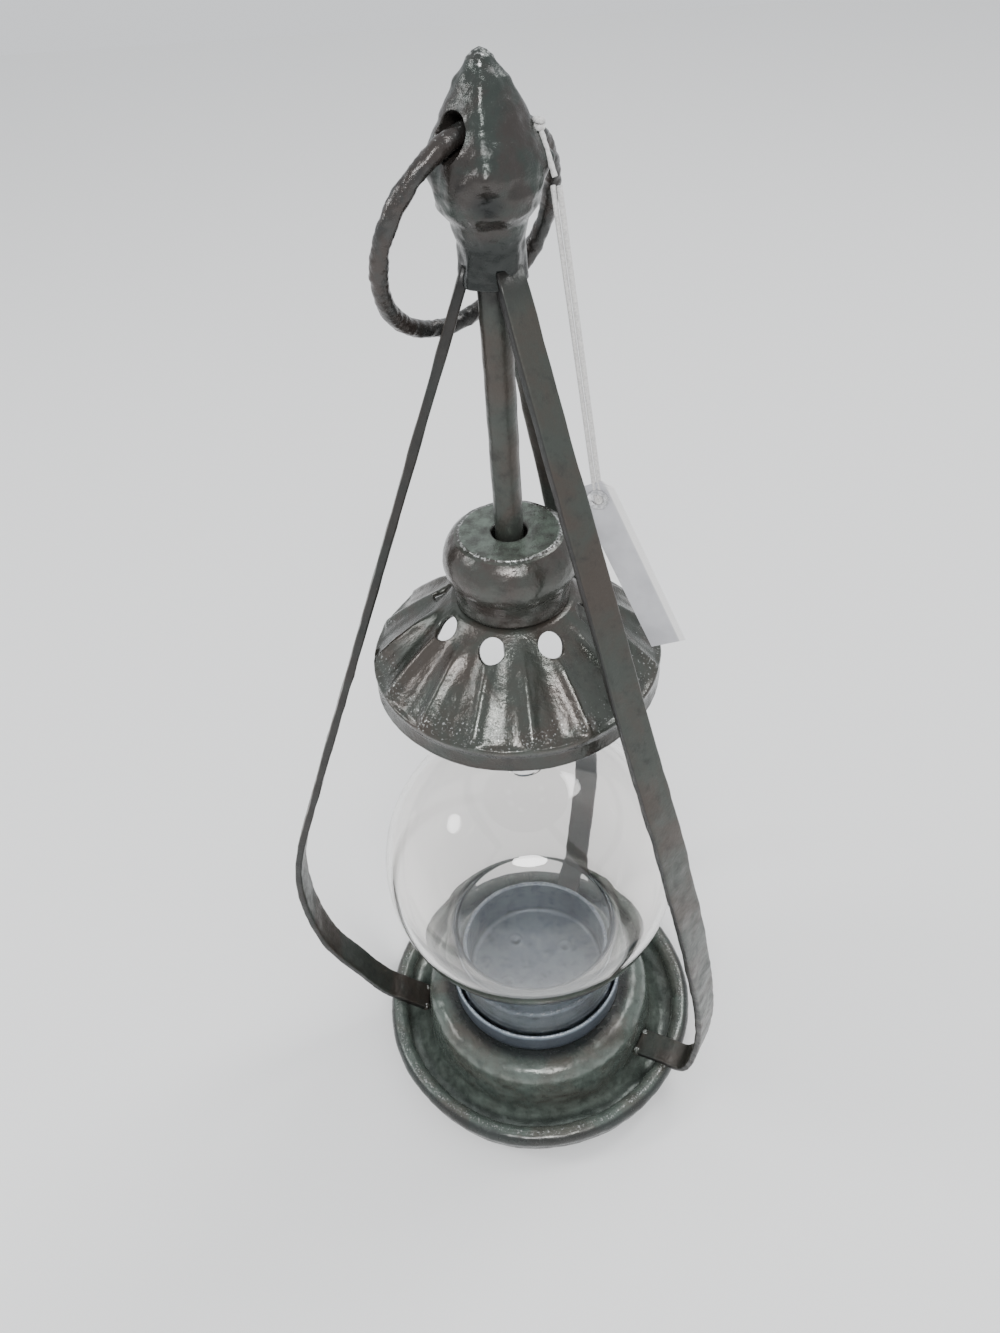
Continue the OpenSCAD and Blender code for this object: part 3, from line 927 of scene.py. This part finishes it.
def finial_profile(drop):
    """Radius of the bud at its ridges, drop mm below the tip."""
    points = [(0, 0.15), (0.4, 1.1), (1.2, 2.0), (4.2, 4.2), (8.4, 6.6), (12.2, 8.6), (15.2, 9.4)]
    points += [(17.8, 9.3), (20.2, 8.2), (22.8, 6.2), (26, 5.2), (29, 5.2), (32, 5.5)]
    for (a, r), (b, s) in zip(points, points[1:]):
        if drop <= b:
            return r + (s - r) * smoothstep(a, b, drop) * 0.5 + (s - r) * 0.5 * (drop - a) / (b - a)
    return points[-1][1]


QUARTER = TAU / 4


def from_ridge(a):
    """Angle from the nearest of the bud's four ridges."""
    return abs(turn_from(a, round(a / QUARTER) * QUARTER))


def finial_shape(r, z, a):
    """Bud of four flat faces, with a nub and a hollow at the foot of each ridge, on a faceted neck."""
    drop = TIP_Z - z
    full = finial_profile(drop) * (r if r < 1 else 1)
    off = from_ridge(a)
    upper = 1 - smoothstep(17.5, 24.5, drop)
    face = 1 - 0.10 * upper * (1 - bump(off, 0.34))
    petal = 0.45 * bump(off - QUARTER / 2, 0.45) * bump(drop - 19.6, 2.2)
    nub = 0.9 * bump(off, 0.14) * bump(drop - 14.4, 1.3)
    hollow = 1.3 * bump(off, 0.26) * bump(drop - 18.2, 1.7)
    neck = 0.16 * math.cos(8 * a) * smoothstep(24, 27, drop)
    return full * face + petal + nub - hollow + neck, z


def make_finial():
    rows = 170
    outline = [(1, NECK_Z + (TIP_Z - NECK_Z) * (i / rows)) for i in range(rows + 1)]
    finial = lathe("cast_finial", [(0.2, NECK_Z)] + outline, 288, shape=finial_shape)

    def between_ends(p):
        return smoothstep(0.0, 3.0, TIP_Z - p.z) * smoothstep(NECK_Z, NECK_Z + 2, p.z)

    hammered(finial, 0.34, 3.6, 51, between_ends)
    hammered(finial, 0.14, 1.5, 52, between_ends)
    cut(finial, [hole_cutter()])

    # brighter along the upper ridges and at the tip; painted highlight on the lower edges of the petals
    def worn(p, n):
        off = from_ridge(math.atan2(p.y, p.x))
        drop = TIP_Z - p.z
        ridge = bump(off * math.hypot(p.x, p.y), 0.9) * (1 - smoothstep(18, 20, drop))
        tip = 1 - smoothstep(1.5, 4.0, drop)
        belly = 0.5 * bump(drop - 18.5, 2.5) * (1 - bump(off, 0.3))
        return 0.3 * ridge + 0.5 * tip + 0.5 * belly

    # painted shade in the hollow under each nub; the neck is painted darker
    def grime(p, n):
        off = from_ridge(math.atan2(p.y, p.x))
        drop = TIP_Z - p.z
        under = bump(off, 0.30) * bump(drop - 18.6, 1.8)
        neck = smoothstep(22, 26, drop)
        return under + 0.65 * neck + 0.1

    paint(finial, "worn", worn)
    paint(finial, "grime", grime)
    finish_piece(finial, METALS["cast"], "cast_metal", "lantern_frame", "finial")


def hole_cutter():
    """Waisted drill for the cross hole, whose mouths flare round the ring."""
    inner = RING_R - WIRE_R
    throat = WIRE_R + 0.3
    reach = inner * 0.72
    outline = [(0.3, -reach)]
    for i in range(41):
        y = -reach + 2 * reach * i / 40
        outline.append((throat + inner - math.sqrt(inner ** 2 - y ** 2), y))
    outline.append((0.3, reach))
    drill = lathe("hole_drill", outline, 48)
    lay = Matrix.Rotation(math.radians(HOLE_AZ + 90), 4, "Z") @ Matrix.Rotation(math.pi / 2, 4, "X")
    drill.data.transform(Matrix.Translation((0, 0, HOLE_Z * MM)) @ lay)
    return drill


def make_ring():
    """Wire ring with a small lump where its ends are welded."""
    lean = math.radians(-RING_LEAN)
    out = Matrix.Rotation(math.radians(HOLE_AZ + 90), 3, "Z") @ Matrix.Rotation(lean, 3, "Y")
    middle = Vector((0, 0, HOLE_Z)) + out @ Vector((0, 0, -RING_R))
    weld_a = math.radians(205)
    rings = []
    for i in range(300):
        a = TAU * i / 300
        spoke = out @ Vector((0, math.cos(a), math.sin(a)))
        axle = out @ Vector((1, 0, 0))
        swell = 0.32 * bump(turn_from(a, weld_a) * RING_R, 0.7)
        swell += 0.24 * bump(turn_from(a, weld_a + 0.085) * RING_R, 0.5)
        ring = []
        for j in range(24):
            b = TAU * j / 24
            r = WIRE_R - 0.04
            inwards = max(0.0, -math.cos(b))
            r += swell * (0.4 + 0.6 * inwards)
            ring.append(middle + spoke * (RING_R + r * math.cos(b)) + axle * (r * math.sin(b)))
        rings.append(ring)
    ring = rings_to_mesh("wire_ring", rings, loop=True)
    face_outwards(ring)

    def away_from_hole(p):
        return smoothstep(5, 8, (p - Vector((0, 0, HOLE_Z))).length)

    hammered(ring, 0.20, 2.4, 61, away_from_hole)
    hammered(ring, 0.16, 0.9, 62, away_from_hole)
    # painted highlight on the wire's upper faces
    paint(ring, "worn", lambda p, n: 0.1 + 0.45 * smoothstep(0.2, 0.9, n.z))
    paint(ring, "grime", lambda p, n: 0.25 + 0.35 * smoothstep(0.2, 0.5, noise.noise(p / 5)))
    finish_piece(ring, METALS["ring"], "ring_metal", "ring", "hanging_ring")


# ---------------------------------------------------------------- tag

TAG_L, TAG_W, TAG_T = 38, 7, 0.6
TAG_HEAD = 3
TAG_AZ = -15
TAG_LEAN = Vector((0.406, -0.052, -0.912))


def tag_place():
    """Turns a card drawn upright at the origin to the way that the tag hangs from its eyelet."""
    lean = math.atan2(TAG_LEAN.x, -TAG_LEAN.z)
    turned = Matrix.Rotation(math.radians(TAG_AZ), 4, "Z") @ Matrix.Rotation(-lean, 4, "Y")
    return Matrix.Translation(EYE_P) @ turned


def place_m(matrix):
    """The same matrix for points in metres."""
    result = matrix.copy()
    result.translation = matrix.translation * MM
    return result


def make_tag():
    """Blank card with clipped corners and an eyelet hole, a little thinner than in the CAD."""
    rows, half = 60, 14
    place = tag_place()
    clip = 1.6
    grid = []
    for i in range(rows + 1):
        h = TAG_HEAD - TAG_L * i / rows
        w = TAG_W / 2 - max(0.0, clip - (TAG_HEAD - h))
        grid.append([(w * j / half, h) for j in range(-half, half + 1)])
    points, faces = [], []
    cols = 2 * half + 1
    half_card = 0.3 * TAG_T
    for face in (half_card, -half_card):
        for row in grid:
            points += [place @ Vector((x, face, h)) for x, h in row]
    size = (rows + 1) * cols
    for i in range(rows):
        for j in range(cols - 1):
            a = i * cols + j
            faces.append((a, a + 1, a + cols + 1, a + cols))
            faces.append((size + a, size + a + cols, size + a + cols + 1, size + a + 1))
    rim = list(range(cols)) + [i * cols + cols - 1 for i in range(1, rows + 1)]
    rim += [rows * cols + j for j in range(cols - 2, -1, -1)] + [i * cols for i in range(rows - 1, 0, -1)]
    for a, b in zip(rim, rim[1:] + rim[:1]):
        faces.append((a, a + size, b + size, b))
    tag = new_object("tag_blank", points, faces)
    face_outwards(tag)
    drill = lathe("eye_drill", [(0.2, -3), (1.65, -3), (1.65, 3), (0.2, 3)], 48)
    drill.data.transform(place_m(place) @ Matrix.Rotation(math.pi / 2, 4, "X"))
    cut(tag, [drill])
    right = place.to_3x3() @ Vector((1, 0, 0))

    def edge(p, n):
        strip = smoothstep(2.2, 2.5, (p - EYE_P).dot(right))
        return max(strip, smoothstep(0.3, 0.8, n.dot(right)))

    paint(tag, "edge", edge)
    tag.data.polygons.foreach_set("use_smooth", [False] * len(tag.data.polygons))
    finish_piece(tag, card(), "tag_card", "tag", "swing_tag")
    return tag


def make_string(tag):
    """Thread doubled from the bud to the eyelet, which holds the tag."""
    steps = 40
    down = [string_point(-1, i / steps) for i in range(steps + 1)]
    up = [string_point(1, 1 - i / steps) for i in range(steps + 1)]
    drop = (EYE_P - BUD_P).normalized()
    dip = []
    for k in range(1, 8):
        a = math.pi * k / 8
        dip.append(down[-1].lerp(up[0], 0.5 - 0.5 * math.cos(a)) + drop * math.sin(a))
    path = down + dip + up
    strand = twisted_tube("tag_thread", path, STRING_R)
    finish_piece(strand, thread(), "string", "tag", "tag_string")


def make_knot():
    """Thread wound on the finial's right ridge, and its run to the edge of the bud."""
    turns = []
    for i in range(60):
        a = TAU * 2.5 * i / 59
        turns.append(KNOT_P + Vector((0.55 * math.cos(a), 0.62 * math.sin(a), 0.5 * math.sin(a * 0.4))))
    run = [KNOT_P.lerp(BUD_P, t) for t in np.linspace(0.12, 1, 24)]
    knot = twisted_tube("thread_knot", turns + run, STRING_R)
    finish_piece(knot, thread(), "string", "lantern_frame", "string_knot")


# ---------------------------------------------------------------- floor and light

def make_stage():
    size = 3.0
    corners = np.array([(-1, -1, 0), (1, -1, 0), (1, 1, 0), (-1, 1, 0)])
    floor = new_object("floor", corners * size / MM / 2, [(0, 1, 2, 3)])
    look = Look("pale_floor")
    look.set(Base_Color=(0.90, 0.90, 0.895), Roughness=0.8)
    floor.data.materials.append(look.material)
    world = bpy.data.worlds.new("studio")
    world.use_nodes = True
    world.node_tree.nodes["Background"].inputs["Color"].default_value = (0.95, 0.97, 1.0, 1)
    world.node_tree.nodes["Background"].inputs["Strength"].default_value = 1.0
    bpy.context.scene.world = world


def soft_light(name, place, aim, size, power):
    """Elliptical light of the given size and power, turned from its place to what it aims at."""
    data = bpy.data.lights.new(name, "AREA")
    data.shape = "ELLIPSE"
    data.size, data.size_y = size
    data.energy = power
    light = bpy.data.objects.new(name, data)
    light.location = place
    light.rotation_euler = (Vector(aim) - Vector(place)).to_track_quat("-Z", "Y").to_euler()
    bpy.context.scene.collection.objects.link(light)


make_string(make_tag())
make_knot()
make_dish()
make_gallery()
make_cup()
make_globe()
for number, strap_name in enumerate(STRAPS):
    make_strap(strap_name, 11 + 3 * number)
make_welds()
make_rod()
make_hood()
make_knob()
make_finial()
make_ring()
dress("stop_washer", METALS["strap"])
dress("stop_nut", METALS["strap"])
dress("tag_eyelet", eyelet())

make_stage()
soft_light("ceiling", (0.02, -0.72, 0.92), (0, 0, 0.1), (0.5, 0.16), 8)
soft_light("window", (-0.85, 0.04, 0.68), (0, 0, 0.1), (0.24, 0.2), 2.2)
soft_light("fill", (0.5, 0.4, 1.0), (0, 0, 0.1), (0.4, 0.4), 4)

bpy.context.view_layer.update()
